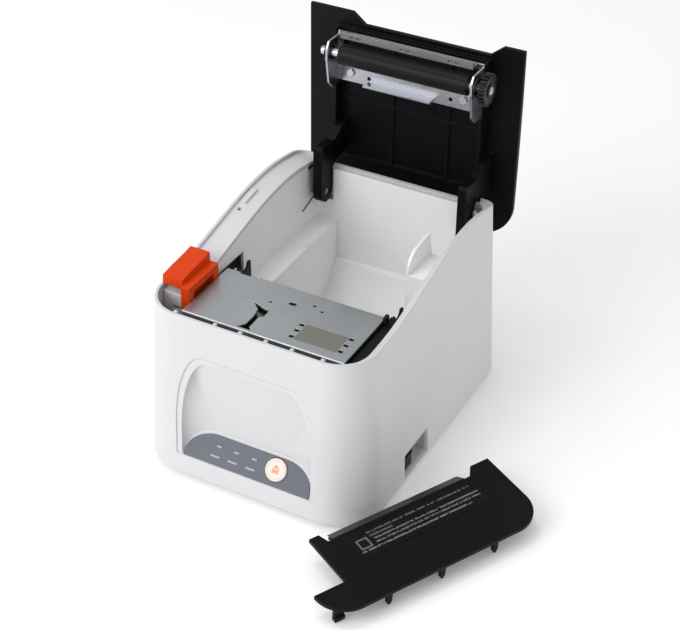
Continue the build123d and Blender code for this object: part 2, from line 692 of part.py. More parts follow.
with BuildPart() as bracket_screws:
    with BuildSketch(Plane.XZ.offset(-BRACKET_Y)):
        with Locations((-34, 174), (38, 174)):
            Circle(2.6)
    extrude(amount=1.4)
    fillet(bracket_screws.edges().group_by(Axis.Y)[0], 0.5)
    with BuildSketch(Plane.XZ.offset(-BRACKET_Y)):
        with Locations((-34, 174), (38, 174)):
            Circle(1.2)
    extrude(amount=-7)
save(bracket_screws.part, "bracket_screws")

BLADE_Z = (197.6, 201.8)
with BuildPart() as fixed_blade:
    add(slab((-38, 45.6), (84.8, 86.0), BLADE_Z))
    add(slab((-38, 45.6), (86.0, BRACKET_Y), (BLADE_Z[0], BLADE_Z[0] + SHEET)))
    for group in (-28.0, 4.0, 34.0):
        add(slab((group - 3.6, group - 0.8), (80, 90), (198.6, 200.0)), mode=Mode.SUBTRACT)
        add(slab((group + 0.8, group + 3.6), (80, 90), (198.6, 200.0)), mode=Mode.SUBTRACT)
save(fixed_blade.part, "fixed_blade")

# Print mechanism ------------------------------------------------------------------------------
PLATEN_SHUT = shut(PLATEN_Y, PLATEN_Z)
MECH_LOW_Z = 56.0
SIDE_T = 1.4
SLOT_R = 3.6
LATCH_PIVOT = (-27.0, 84.0)
MOTOR_AT = (-46.8, 73.8)

SIDE_PLATE = [
    (MECH_FRONT_Y + SHEET, MECH_LOW_Z),
    (-8, MECH_LOW_Z + 24),
    (-8, 97),
    (MECH_REAR_Y, 97),
    (MECH_REAR_Y, MECH_TOP_Z - SHEET),
    (MECH_FRONT_Y + SHEET, MECH_TOP_Z - SHEET),
]

with BuildPart() as mech_frame:
    for left in (MECH_X[0], MECH_X[1] - SIDE_T):
        add(side_profile(SIDE_PLATE, (left, left + SIDE_T)))
    add(slab((MECH_X[0] + SIDE_T, MECH_X[1] - SIDE_T), (MECH_FRONT_Y + SHEET, MECH_FRONT_Y + 3),
             (MECH_LOW_Z, MECH_TOP_Z - 6)))
    add(slab((MECH_X[0] + SIDE_T, MECH_X[1] - SIDE_T), (MECH_FRONT_Y + 3, -36), (MECH_LOW_Z, MECH_LOW_Z + 2)))
    add(rod((40, 60), MOTOR_AT[0], MOTOR_AT[1], 4.0), mode=Mode.SUBTRACT)
    slot_y, slot_z = PLATEN_SHUT
    add(rod((-60, 60), slot_y, slot_z, SLOT_R), mode=Mode.SUBTRACT)
    add(slab((-60, 60), (slot_y - SLOT_R, slot_y + SLOT_R), (slot_z, slot_z + 20)), mode=Mode.SUBTRACT)
save(mech_frame.part, "mech_frame")

PLATE_X = (-45.5, 52.8)
with BuildPart() as cutter_cover_plate:
    add(slab(PLATE_X, (MECH_FRONT_Y, MECH_REAR_Y), (MECH_TOP_Z - SHEET, MECH_TOP_Z)))
    add(slab(PLATE_X, (MECH_FRONT_Y, MECH_FRONT_Y + SHEET), (MECH_TOP_Z - 9, MECH_TOP_Z)))
    fillet(cutter_cover_plate.edges().filter_by(Axis.X).group_by(Axis.Z)[-1].sort_by(Axis.Y)[0], 0.9)
    # window of the cutter's crank, its guide slot and the fixing holes
    with BuildSketch(Plane.XY.offset(MECH_TOP_Z + 1)):
        with BuildLine():
            Polyline((-15.5, -51.5), (-8, -54.2), (-4.4, -54.4), (-4.2, -61), (-6.2, -62.2), (-6.0, -72.5),
                     (-4.0, -75), (-12.5, -75), (-9.2, -71), (-9.4, -61.5), (-10.4, -56.4), close=True)
        make_face()
        with Locations((-8, -47), (14.8, -39), (21, -42)):
            Circle(0.9)
        with Locations((3.5, -43)):
            SlotOverall(4.4, 2.8)
        with Locations((-33.3, MECH_REAR_Y)):
            Rectangle(7.4, 2.4)
        with Locations((-25.6, MECH_REAR_Y)):
            Rectangle(2.4, 2.4)
        with Locations((17.4, -57.5), (17.4, -63), (17.4, -69), (46.4, -56.5), (46.4, -62.5), (46.4, -68.5)):
            Rectangle(2.8, 2.2)
    extrude(amount=-4, mode=Mode.SUBTRACT)
    for x in range(-38, 46, 14):
        add(slab((x, x + 8.5), (-80, -70), (MECH_TOP_Z - 6.2, MECH_TOP_Z - 2.6)), mode=Mode.SUBTRACT)
save(cutter_cover_plate.part, "cutter_cover_plate")

with BuildPart() as plate_label:
    add(slab((19.4, 44.2), (-70.4, -56.2), (MECH_TOP_Z, MECH_TOP_Z + 0.2)))
save(plate_label.part, "plate_label")

with BuildPart() as moving_blade:
    with BuildSketch(Plane.XY.offset(99.9)):
        with BuildLine():
            Polyline((-38, -69.5), (46, -69.5), (46, -33.8), (4, -37.8), (-38, -33.8), close=True)
        make_face()
    extrude(amount=1.0)
save(moving_blade.part, "moving_blade")

CRANK_AT = (-8.0, -56.0)
with BuildPart() as cutter_gear:
    with BuildSketch(Plane.XY.offset(95.4)):
        with Locations(CRANK_AT):
            Circle(11)
            Circle(1.5 + RUN, mode=Mode.SUBTRACT)
    extrude(amount=3.2)
    with BuildSketch(Plane.XY.offset(98.6)):
        with Locations((CRANK_AT[0] + 4.5, CRANK_AT[1])):
            Circle(1.6)
    extrude(amount=0.9)
save(cutter_gear.part, "cutter_gear")

with BuildPart() as cutter_stud:
    with BuildSketch(Plane.XY.offset(MECH_LOW_Z + 2)):
        with Locations(CRANK_AT):
            Circle(1.5)
    extrude(amount=98.4 - MECH_LOW_Z - 2)
save(cutter_stud.part, "cutter_stud")

with BuildPart() as cutter_motor:
    add(rod((-42, -14), -56, 70, 11.5))
    add(rod((-14, -10.2), -56, 70, 1.0))
    add(slab((-43.4, -42), (-62, -50), (64, 76)))
save(cutter_motor.part, "cutter_motor")

with BuildPart() as feed_motor:
    add(rod((36, 51.2), MOTOR_AT[0], MOTOR_AT[1], 14))
    add(rod((MECH_X[1] + 0.2, 58.6), MOTOR_AT[0], MOTOR_AT[1], 1.0))
    add(rod((51.2, MECH_X[1] + 0.2), MOTOR_AT[0], MOTOR_AT[1], 4.0))
save(feed_motor.part, "feed_motor")

IDLER_AT = (-33.0, 83.4)
with BuildPart() as idler_gear:
    add(spur_gear(IDLER_TEETH, (54.2, 57.4), IDLER_AT[0], IDLER_AT[1], 2.0 + RUN))
save(idler_gear.part, "idler_gear")

with BuildPart() as idler_stud:
    add(rod((MECH_X[1], 58.0), IDLER_AT[0], IDLER_AT[1], 2.0))
save(idler_stud.part, "idler_stud")

with BuildPart() as motor_pinion:
    add(spur_gear(PINION_TEETH, (54.2, 57.4), MOTOR_AT[0], MOTOR_AT[1], 1.0 + RUN, turn=15.0))
save(motor_pinion.part, "motor_pinion")

# print head: a ceramic bar on an aluminium plate, leaning on the shut platen at 45 degrees
HEAD_GAP = 0.4
head_reach = (PLATEN_R + HEAD_GAP) / 2 ** 0.5
head_plane = Plane(
    origin=(5, PLATEN_SHUT[0] - head_reach, PLATEN_SHUT[1] - head_reach),
    x_dir=(1, 0, 0),
    z_dir=(0, -1, -1),
)

with BuildPart() as print_head:
    with BuildSketch(head_plane):
        with Locations((0, -3)):
            Rectangle(82, 13)
    extrude(amount=1.6)
save(print_head.part, "print_head")

with BuildPart() as heat_sink:
    with BuildSketch(head_plane.offset(1.6)):
        with Locations((0, -3)):
            Rectangle(82, 13)
    extrude(amount=3.0)
save(heat_sink.part, "heat_sink")

with BuildPart() as head_springs:
    with BuildSketch(head_plane.offset(4.6)):
        with Locations((-24, 0), (0, 0), (24, 0)):
            Circle(2.2)
            Circle(1.5, mode=Mode.SUBTRACT)
    extrude(amount=4.0)
save(head_springs.part, "head_springs")

with BuildPart() as head_stay:
    with BuildSketch(head_plane.offset(8.6)):
        with Locations((0, -1)):
            Rectangle(92.0, 9)
    extrude(amount=1.2)
save(head_stay.part, "head_stay")

# Release lever, its white guide block and the latch hook ----------------------------------------
LEVER_X = (-64.2, -46.0)
LEVER_CAP_X = (-64.2, -51.2)
LEVER_Y = (-68.6, -38.6)
LEVER_PIN = (-65.0, 96.0)
GUIDE_X = (-64.2, -52.0)

lever_top = Plane(
    origin=(0, 0, LEVER_SLOPE_Z),
    x_dir=(1, 0, 0),
    z_dir=(0, -sin(radians(LEVER_SLOPE)), cos(radians(LEVER_SLOPE))),
)
LEVER_RECESS = 3.6  # depth of the shallow pocket in the lever's inner face

with BuildPart() as release_lever:
    add(slab(LEVER_CAP_X, (-66.5, LEVER_Y[1]), (109.4, 125)))
    add(slab((LEVER_CAP_X[1], LEVER_X[1]), LEVER_Y, (93, 112)))
    add(slab((LEVER_CAP_X[1], LEVER_X[1]), (LEVER_Y[0], LEVER_Y[0] + 5), (87, 94)))
    add(slab((LEVER_X[1] - LEVER_RECESS, LEVER_X[1] + 1), (LEVER_Y[0] + 5, LEVER_Y[1] - 5), (80, 108)),
        mode=Mode.SUBTRACT)
    split(bisect_by=lever_top, keep=Keep.BOTTOM)
    add(casing_form(LIP_T + 0.4, CASING_Z, -8), mode=Mode.INTERSECT)
    add(rod((LEVER_X[0], LEVER_X[1]), LEVER_PIN[0], LEVER_PIN[1], 1.5 + RUN), mode=Mode.SUBTRACT)
save(release_lever.part, "release_lever")

with BuildPart() as lever_guide:
    add(slab(GUIDE_X, (-66.5, LEVER_Y[1] + 0.6), (84, 108.8)))
    add(casing_form(WALL + 0.2, CASING_Z, 3), mode=Mode.INTERSECT)
    add(rod((-58, -50), LEVER_PIN[0], LEVER_PIN[1], 1.5), mode=Mode.SUBTRACT)
save(lever_guide.part, "lever_guide")

with BuildPart() as lever_pin:
    add(rod((-58, LEVER_X[1] - 0.2), LEVER_PIN[0], LEVER_PIN[1], 1.5))
save(lever_pin.part, "lever_pin")

with BuildPart() as latch_hook:
    hook = [
        (-30, 81), (-24, 81), (-20, 88), (-17.4, 92), (-17.4, 96),
        (-20, 98), (-22.6, 96.6), (-23, 92), (-30, 88),
    ]
    add(side_profile(hook, (-47.1, -45.7)))
    add(rod((-48, -45), LATCH_PIVOT[0], LATCH_PIVOT[1], 1.2 + RUN), mode=Mode.SUBTRACT)
save(latch_hook.part, "latch_hook")

with BuildPart() as latch_pin:
    add(rod((-47.4, MECH_X[0]), LATCH_PIVOT[0], LATCH_PIVOT[1], 1.2))
save(latch_pin.part, "latch_pin")

# black cover over the gear train at the right of the mechanism
with BuildPart() as gear_cover:
    add(slab((53.2, 61.4), (-78, -24), (92, 101)))
    add(casing_form(LIP_T + 1.2, CASING_Z, 1), mode=Mode.INTERSECT)
    add(slab((53.6, 60.0), (-76.6, -23), (90, 99.6)), mode=Mode.SUBTRACT)
    add(slab((53.2, 55.0), (-34, -30), (99, 106.5)))
    add(slab((59.6, 61.4), (-36, -31), (99, 105.5)))
    add(rod((50, 70), PLATEN_SHUT[0], PLATEN_SHUT[1], 11.2), mode=Mode.SUBTRACT)
save(gear_cover.part, "gear_cover")

# Electronics ----------------------------------------------------------------------------------
BOARD_Z = (9.4, 11.0)
with BuildPart() as main_board:
    add(slab((-46, 50), (-60, 72), BOARD_Z))
    for x, y in ((-40, -54), (44, -54), (-40, 66), (44, 66)):
        add(slab((x - 2, x + 2), (y - 2, y + 2), (BASE_Z[1], BOARD_Z[0])))
save(main_board.part, "main_board")

with BuildPart() as board_parts:
    add(slab((-12, 6), (-40, -22), (BOARD_Z[1], BOARD_Z[1] + 1.4)))
    add(slab((20, 30), (-44, -36), (BOARD_Z[1], BOARD_Z[1] + 2.4)))
    add(slab((-36, -26), (-50, -30), (BOARD_Z[1], BOARD_Z[1] + 3.0)))
    for x, y in ((36, -14), (36, -28), (-38, -12)):
        with BuildSketch(Plane.XY.offset(BOARD_Z[1])):
            with Locations((x, y)):
                Circle(4)
        extrude(amount=5)
save(board_parts.part, "board_parts")

SOCKET_Y = (74.0, 90.6)
socket_back_y = BODY_D / 2 - 15 * lean - 0.2


def socket(centre, width, mouth_w, mouth_h):
    """A board-mounted socket whose mouth opens through the back wall."""
    mid_z = (SOCKET_Z[0] + SOCKET_Z[1]) / 2
    with BuildPart() as shell:
        add(slab((centre - width / 2 + 0.2, centre + width / 2 - 0.2), (SOCKET_Y[0], socket_back_y),
                 (SOCKET_Z[0] + 0.2, SOCKET_Z[1] - 0.2)))
        add(slab((centre - mouth_w / 2, centre + mouth_w / 2), (socket_back_y - 9, 100),
                 (mid_z - mouth_h / 2, mid_z + mouth_h / 2)), mode=Mode.SUBTRACT)
    return shell.part


save(socket(*SOCKETS["usb"], 9.0, 8.0), "usb_socket")
save(socket(*SOCKETS["drawer"], 10.0, 7.0), "drawer_socket")
save(socket(*SOCKETS["power"], 12.0, 8.6), "power_inlet")

with BuildPart() as paper_sensor:
    add(slab((BIN_X[0] - BIN_WALL - 6, BIN_X[0] - BIN_WALL), (20, 28), (40, 48)))
save(paper_sensor.part, "paper_sensor")

# Front cover, lifted off and lying beside the printer --------------------------------------------
# Modelled flat in its own frame, as seen from above with the printer's axes, then laid down.
COVER_BACK_Y = -33.5
COVER_FRONT_Y = -85.6
COVER_HALF_W = 69.2
COVER_NOTCH = 6.2  # depth of the notch that the tear bar lies in
COVER_T = 2.4
COVER_TILT = 4.2  # it rests on its front clips, back edge higher
COVER_LIE = Location((47.9, -56.8, 18.2), (0, 0, 62.5)) * Location((0, 0, 0), (COVER_TILT, 0, 0))
TEAR_X = (-38.0, 48.0)
TONGUE_Y = -67.5
TONGUE_X = -50.0

with BuildPart() as front_cover:
    with BuildSketch() as cover_outline:
        with BuildLine():
            Polyline(
                (COVER_HALF_W, COVER_BACK_Y),
                (57, COVER_BACK_Y),
                (52, COVER_BACK_Y - COVER_NOTCH),
                (-42, COVER_BACK_Y - COVER_NOTCH),
                (-44, COVER_BACK_Y),
                (TONGUE_X, COVER_BACK_Y),
                (TONGUE_X, TONGUE_Y),
                (-COVER_HALF_W, TONGUE_Y),
                (-COVER_HALF_W, COVER_FRONT_Y),
                (COVER_HALF_W, COVER_FRONT_Y),
                close=True,
            )
        make_face()
        fillet(cover_outline.vertices().group_by(Axis.Y)[0], 18)
    extrude(amount=-COVER_T)
    # sloping chute below the tear bar
    with BuildSketch(Plane.YZ.offset(TEAR_X[0])):
        with BuildLine():
            Polyline((COVER_BACK_Y - COVER_NOTCH - 0.9, -0.8), (COVER_BACK_Y - COVER_NOTCH, -0.8),
                     (COVER_BACK_Y - 0.5, -4.6), (COVER_BACK_Y - 0.5, -6.2),
                     (COVER_BACK_Y - COVER_NOTCH - 0.9, -2.6), close=True)
        make_face()
    extrude(amount=TEAR_X[1] - TEAR_X[0])
    # snap tabs under the front edge and the clip at its left corner
    for x in (-34.0, 0.0, 35.0):
        add(slab((x - 1.6, x + 1.6), (COVER_FRONT_Y + 0.4, COVER_FRONT_Y + 2.6), (-8.6, -1)))
        add(slab((x - 0.8, x + 0.8), (COVER_FRONT_Y + 0.4, COVER_FRONT_Y + 2.0), (-10.0, -7)))
    add(slab((-63.6, -57.6), (-78.6, -76.4), (-12.2, -1)))
    add(slab((-63.6, -57.6), (-79.6, -76.4), (-12.2, -9.2)))
save(COVER_LIE * front_cover.part, "front_cover")

with BuildPart() as tear_bar:
    with BuildSketch(Plane.YZ.offset(TEAR_X[0])):
        with BuildLine():
            Polyline((COVER_BACK_Y - 0.4, -4.0), (COVER_BACK_Y - COVER_NOTCH + 0.2, -0.4),
                     (COVER_BACK_Y - COVER_NOTCH + 0.2, 0.2), (COVER_BACK_Y + 0.4, -3.8), close=True)
        make_face()
    extrude(amount=TEAR_X[1] - TEAR_X[0])
save(COVER_LIE * tear_bar.part, "tear_bar")

with BuildPart() as cover_label:
    add(slab((-35, 50), (-60.5, -43), (0, 0.2)))
save(COVER_LIE * cover_label.part, "cover_label")
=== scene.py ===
import math

import bmesh
import bpy
from mathutils import Matrix, Vector


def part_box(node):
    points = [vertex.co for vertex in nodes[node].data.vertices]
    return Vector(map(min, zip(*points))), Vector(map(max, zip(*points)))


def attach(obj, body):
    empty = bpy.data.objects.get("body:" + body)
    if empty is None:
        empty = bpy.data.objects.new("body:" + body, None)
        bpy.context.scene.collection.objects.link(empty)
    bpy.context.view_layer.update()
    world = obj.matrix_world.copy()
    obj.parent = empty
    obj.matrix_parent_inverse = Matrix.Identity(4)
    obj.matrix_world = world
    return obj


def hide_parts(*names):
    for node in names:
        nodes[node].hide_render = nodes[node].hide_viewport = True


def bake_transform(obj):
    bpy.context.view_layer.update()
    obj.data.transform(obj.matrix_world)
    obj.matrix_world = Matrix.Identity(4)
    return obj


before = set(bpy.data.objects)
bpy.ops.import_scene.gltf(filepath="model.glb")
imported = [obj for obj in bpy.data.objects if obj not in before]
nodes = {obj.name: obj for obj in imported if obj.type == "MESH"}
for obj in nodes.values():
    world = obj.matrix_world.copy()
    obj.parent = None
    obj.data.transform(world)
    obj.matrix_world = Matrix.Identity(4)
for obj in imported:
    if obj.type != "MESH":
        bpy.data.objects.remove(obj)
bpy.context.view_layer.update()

# ---------------------------------------------------------------------------------------------
# Floor and studio.
# White sweep board under the printer, a large soft light to the left and front, and a small one above.
# The board glows faintly, and the world around it is an even pale grey.
FLOOR_HALF = 3.0
FLOOR_WHITE = (0.985, 0.985, 0.985)
FLOOR_GLOW = 0.10
WORLD_LIGHT = 0.69
# Where each light stands, its width in metres and its power in watts.
LIGHTS = {
    "key_softbox": ((-0.50, -0.95, 0.75), 0.8, 7.2),
    "top_soft": ((-0.30, -0.05, 1.45), 0.5, 3.0),
}


class Wire:
    """An output socket in a material's tree. Sums on it add Math nodes."""

    def __init__(self, tree, socket=None):
        self.tree = tree
        self.socket = socket

    def node(self, kind, settings, inputs, out=0):
        made = self.tree.nodes.new("ShaderNode" + kind)
        for name, value in settings.items():
            if name == "stops":
                stops = made.color_ramp.elements
                stops[0].position, stops[0].color = value[0][0], (*value[0][1], 1)
                stops[1].position, stops[1].color = value[-1][0], (*value[-1][1], 1)
                for place, colour in value[1:-1]:
                    stops.new(place).color = (*colour, 1)
            else:
                setattr(made, name, value)
        for name, value in inputs.items():
            if isinstance(value, Wire):
                self.tree.links.new(value.socket, made.inputs[name])
            else:
                made.inputs[name].default_value = value
        return Wire(self.tree, made.outputs[out])

    def maths(self, operation, first, second=0.0):
        return self.node("Math", {"operation": operation}, {0: first, 1: second})

    def __add__(self, other):
        return self.maths("ADD", self, other)

    __radd__ = __add__

    def __sub__(self, other):
        return self.maths("SUBTRACT", self, other)

    def __rsub__(self, other):
        return self.maths("SUBTRACT", other, self)

    def __mul__(self, other):
        return self.maths("MULTIPLY", self, other)

    __rmul__ = __mul__

    def __gt__(self, other):
        return self.maths("GREATER_THAN", self, other)

    def __lt__(self, other):
        return self.maths("LESS_THAN", self, other)

    def __abs__(self):
        return self.maths("ABSOLUTE", self)

    def __or__(self, other):
        return self.maths("MAXIMUM", self, other)

    def __and__(self, other):
        return self.maths("MINIMUM", self, other)


def new_finish(name, metallic=0.0, specular=0.5):
    """A material, its object coordinates and its shader."""
    material = bpy.data.materials.new(name)
    material.use_nodes = True
    tree = material.node_tree
    shader = tree.nodes["Principled BSDF"]
    shader.inputs["Metallic"].default_value = metallic
    shader.inputs["Specular IOR Level"].default_value = specular
    at = Wire(tree).node("TexCoord", {}, {}, "Object")
    return material, at, shader


def noise(at, scale, detail=2.0, stretch=None):
    """Cloudy values about 0.5. scale is features per metre, and stretch multiplies it along x, y and z."""
    where = at
    if stretch:
        where = at.node("VectorMath", {"operation": "MULTIPLY"}, {0: at, 1: stretch})
    return where.node("TexNoise", {}, {"Vector": where, "Scale": scale, "Detail": detail})


def blend_colour(at, first, second, share):
    """Colour that goes from first to second as share goes from 0 to 1."""
    ends = [(*c, 1) if isinstance(c, tuple) else c for c in (first, second)]
    return at.node("Mix", {"data_type": "RGBA"}, {0: share, 6: ends[0], 7: ends[1]}, 2)


def connect(shader, at, **sockets):
    """Links each wire to the shader's socket of that name."""
    for name, wire in sockets.items():
        at.tree.links.new(wire.socket, shader.inputs[name.replace("_", " ")])


EDGE_SAMPLES = 6
EDGE_GAIN = 2.5


def eased_edges(at, radius):
    """The surface direction with sharp corners rounded to a radius, and how near an edge a point is."""
    soft = at.node("Bevel", {"samples": EDGE_SAMPLES}, {"Radius": radius})
    straight = at.node("NewGeometry", {}, {}, "Normal")
    turn = at.node("VectorMath", {"operation": "DOT_PRODUCT"}, {0: soft, 1: straight}, "Value")
    return soft, (1 - turn) * EDGE_GAIN & 1.0


FLOW_PER_METRE = 26.0
FLOW_DIM = 0.93  # how dark the flow marks are beside the plain colour
PEBBLE_GLOSS = 0.16  # how far each texture changes the roughness
FLOW_GLOSS = 0.12


def moulded(name, colour, roughness, grain=0.45, depth=0.00002, edge=0.0005, edge_highlight_and_polish=0.25, paint=None,
            **shader_facts):
    """Injection-moulded plastic: spark-eroded grain, faint flow marks, and corners rubbed glossier and
    painted lighter as a painted highlight.
    grain is the size of the texture in mm. paint takes the coordinates and the colour so far, and
    returns the printed colour."""
    material, at, shader = new_finish(name, **shader_facts)
    pebble = noise(at, 1000 / grain, 1.0)
    flow = noise(at, FLOW_PER_METRE, 4.0)
    soft, rim = eased_edges(at, edge)
    dim = tuple(c * FLOW_DIM for c in colour)
    # Painted highlight: each edge's colour is lightened towards white, beside the real gloss of rubbed
    # corners.
    painted_edge_highlight = tuple(c + (1 - c) * edge_highlight_and_polish * 0.3 for c in colour)
    tone = blend_colour(at, dim, colour, flow)
    tone = blend_colour(at, tone, painted_edge_highlight, rim)
    if paint:
        tone = paint(at, tone)
    gloss = (pebble - 0.5) * PEBBLE_GLOSS + (flow - 0.5) * FLOW_GLOSS + roughness - rim * (edge_highlight_and_polish * 0.25)
    relief = at.node("Bump", {}, {"Strength": 0.5, "Distance": depth, "Height": pebble, "Normal": soft})
    connect(shader, at, Base_Color=tone, Roughness=gloss, Normal=relief)
    return material


def dress(material, *names):
    """Gives CAD nodes a material in place of their own."""
    for name in names:
        for place in nodes[name].material_slots:
            place.material = material


def make_floor():
    """One large square board, kept out of the object."""
    sheet = bpy.data.meshes.new("floor")
    far = FLOOR_HALF
    sheet.from_pydata([(-far, -far, 0), (far, -far, 0), (far, far, 0), (-far, far, 0)], [], [(0, 1, 2, 3)])
    floor = bpy.data.objects.new("floor", sheet)
    bpy.context.collection.objects.link(floor)
    board, at, shader = new_finish("sweep_board", specular=0.2)
    shader.inputs["Emission Color"].default_value = (1.0, 1.0, 1.0, 1)
    shader.inputs["Emission Strength"].default_value = FLOOR_GLOW
    shade = blend_colour(at, tuple(c * 0.985 for c in FLOOR_WHITE), FLOOR_WHITE, noise(at, 3.0, 3.0))
    connect(shader, at, Base_Color=shade, Roughness=noise(at, 60.0) * 0.1 + 0.6)
    sheet.materials.append(board)


make_floor()
world = bpy.data.worlds.new("studio")
bpy.context.scene.world = world
bpy.context.scene.view_settings.view_transform = "Standard"
world.use_nodes = True
world.node_tree.nodes["Background"].inputs["Color"].default_value = (1.0, 1.0, 1.0, 1)
world.node_tree.nodes["Background"].inputs["Strength"].default_value = WORLD_LIGHT
AIM = Vector((0.0, 0.0, 0.08))
for light_name, (place, width, power) in LIGHTS.items():
    lamp = bpy.data.lights.new(light_name, "AREA")
    lamp.size = width
    lamp.energy = power
    light = bpy.data.objects.new(light_name, lamp)
    light.location = place
    light.rotation_euler = (AIM - Vector(place)).to_track_quat("-Z", "Y").to_euler()
    bpy.context.collection.objects.link(light)

# ---------------------------------------------------------------------------------------------
# Camera.
# Above the right front corner, a long lens, tipped by under a degree.
CAMERA_AT = Vector((0.3588, -0.6600, 0.5963))
CAMERA_AIM = Vector((0.00947, 0.0, 0.07246))
CAMERA_ROLL = math.radians(0.73)
LENS_MM = 85.26
SENSOR_MM = 36.0
lens = bpy.data.cameras.new("camera")
lens.lens = LENS_MM
lens.sensor_width = SENSOR_MM
lens.clip_start = 0.05
lens.clip_end = 20.0
camera = bpy.data.objects.new("camera", lens)
bpy.context.collection.objects.link(camera)
camera.location = CAMERA_AT
aim_turn = (CAMERA_AIM - CAMERA_AT).to_track_quat("-Z", "Y").to_matrix()
camera.rotation_euler = (aim_turn @ Matrix.Rotation(CAMERA_ROLL, 3, "Z")).to_euler()
bpy.context.scene.camera = camera

# ---------------------------------------------------------------------------------------------
# Upper casing, paper trough, lever guide and switch housing.
# White ABS with a fine satin grain, all in one moulding colour. The trough's white is brightened as
# painted light, and the switch housing is greyed as painted shade in its opening.
CASING_WHITE = (0.675, 0.670, 0.690)
# Painted light: the trough's white is the casing's, brightened so the trough reads lighter.
LINER_PAINTED_LIGHT_WHITE = (0.915, 0.912, 0.908)
# Painted shade: the switch housing is white, greyed so its opening reads darker.
TRAY_PAINTED_SHADE_GREY = (0.50, 0.50, 0.50)
casing_white = moulded("casing_white", CASING_WHITE, 0.36, edge=0.0009, edge_highlight_and_polish=0.5)
dress(casing_white, "upper_casing", "lever_guide")
dress(moulded("liner_white_painted_light", LINER_PAINTED_LIGHT_WHITE, 0.4, grain=0.7, edge=0.0009, edge_highlight_and_polish=0.4), "paper_bin")
dress(moulded("tray_grey_painted_shade", TRAY_PAINTED_SHADE_GREY, 0.5, grain=0.6), "switch_housing")

# ---------------------------------------------------------------------------------------------
# Base tray, its feet and its screws.
# A plainer white moulding, four soft feet pressed in, and zinc-plated screws.
dress(moulded("base_white", (0.74, 0.745, 0.77), 0.5, grain=0.6), "bottom_base")
dress(moulded("foot_rubber", (0.03, 0.03, 0.032), 0.75, grain=0.35, depth=0.00004), "rubber_feet")


ROLLED = (0.03, 1.0, 1.0)  # hairlines run along X
PLATING_PER_METRE = 90.0
HAIR_GLOSS = 0.22
PLATING_GLOSS = 0.16


def plated(name, colour, roughness, fine=1500.0, depth=0.000006, edge=0.0003, cloud=0.12):
    """Rolled or plated metal: hairlines from side to side, cloudy plating, and corners painted brighter as
    a painted highlight.
    """
    material, at, shader = new_finish(name, metallic=1.0)
    hair = noise(at, fine, 2.0, ROLLED)
    patch = noise(at, PLATING_PER_METRE, 3.0)
    soft, rim = eased_edges(at, edge)
    tone = blend_colour(at, tuple(c * (1 - 2 * cloud) for c in colour), colour, patch)
    tone = blend_colour(at, tone, tuple(c * 0.8 for c in colour), hair * 0.5)
    # Painted highlight: each edge's colour is brightened towards white.
    tone = blend_colour(at, tone, tuple(min(1.0, c * 1.35) for c in colour), rim)
    gloss = (hair - 0.5) * HAIR_GLOSS + (patch - 0.5) * PLATING_GLOSS + roughness
    relief = at.node("Bump", {}, {"Strength": 0.4, "Distance": depth, "Height": hair, "Normal": soft})
    connect(shader, at, Base_Color=tone, Roughness=gloss, Normal=relief)
    return material


screw_zinc = plated("screw_zinc", (0.62, 0.62, 0.64), 0.32)
dress(screw_zinc, "base_screws", "bracket_screws")

# ---------------------------------------------------------------------------------------------
# Control panel, its lamps and the feed button.
# A printed film on a sloping face: slate, with a plain pale bar under each of the three lamps.
# The cream key carries a thin ring and an orange mark.
PANEL_SLATE = (0.098, 0.110, 0.138)
PANEL_PALE = (0.62, 0.64, 0.66)
PANEL_UP = (0.0, 0.590, 0.807)
LAMPS = (-0.0193, -0.0083, 0.0030)
BAR_RISE = 0.0050
BAR_SHIFT = -0.0012
BAR_HALF = (0.0028, 0.0005)
BUTTON_ORANGE = (0.86, 0.24, 0.06)
panel_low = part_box("control_panel")[0]
button_low, button_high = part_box("feed_button")
button_middle = (button_low + button_high) / 2
button_rise = (button_middle - panel_low).dot(Vector(PANEL_UP))


def panel_sides(at):
    """Distances across the panel from its middle, and up its slope from its lower edge."""
    u = at.node("SeparateXYZ", {}, {0: at}, "X")
    lifted = at.node("VectorMath", {"operation": "SUBTRACT"}, {0: at, 1: tuple(panel_low)})
    v = at.node("VectorMath", {"operation": "DOT_PRODUCT"}, {0: lifted, 1: PANEL_UP}, "Value")
    return u, v


def bar(u, v, middle_u, middle_v, half_u, half_v):
    """1 inside an upright rectangle and 0 outside it."""
    return (abs(u - middle_u) < half_u) * (abs(v - middle_v) < half_v)


def panel_print(at, tone):
    """One plain bar under each lamp."""
    u, v = panel_sides(at)
    marks = 0.0
    for lamp_x in LAMPS:
        marks = bar(u, v, lamp_x + BAR_SHIFT, BAR_RISE, *BAR_HALF) | marks
    return blend_colour(at, tone, PANEL_PALE, marks * 0.55)


panel_film = moulded("panel_film", PANEL_SLATE, 0.42, grain=0.25, depth=0.000008, paint=panel_print)
dress(panel_film, "control_panel")
lamp_lens = moulded("lamp_lens", (0.25, 0.29, 0.34), 0.22, grain=0.8, depth=0.000005, edge_highlight_and_polish=0.05)
dress(lamp_lens, "indicator_lenses")


RING_R = 0.0050
RING_HALF = 0.0004
SHEET_HALF = (0.0021, 0.0012)
SHEET_RISE = -0.0008
ARROW_FOOT = 0.0008
ARROW_HEAD = 0.0028
ARROW_POINT = 0.0030


def button_print(at, tone):
    """A faint ring near the rim, and a sheet with an arrowhead over it in the middle."""
    u, v = panel_sides(at)
    across = u - button_middle.x
    up = v - button_rise
    reach = at.node("Math", {"operation": "SQRT"}, {0: across * across + up * up})
    ring = abs(reach - RING_R) < RING_HALF
    sheet = bar(across, up, 0.0, SHEET_RISE, *SHEET_HALF)
    arrow = (abs(across) < ARROW_POINT - up) * (up > ARROW_FOOT) * (up < ARROW_HEAD)
    return blend_colour(at, tone, BUTTON_ORANGE, (ring * 0.25 | sheet * 0.8 | arrow * 0.8) & 1)


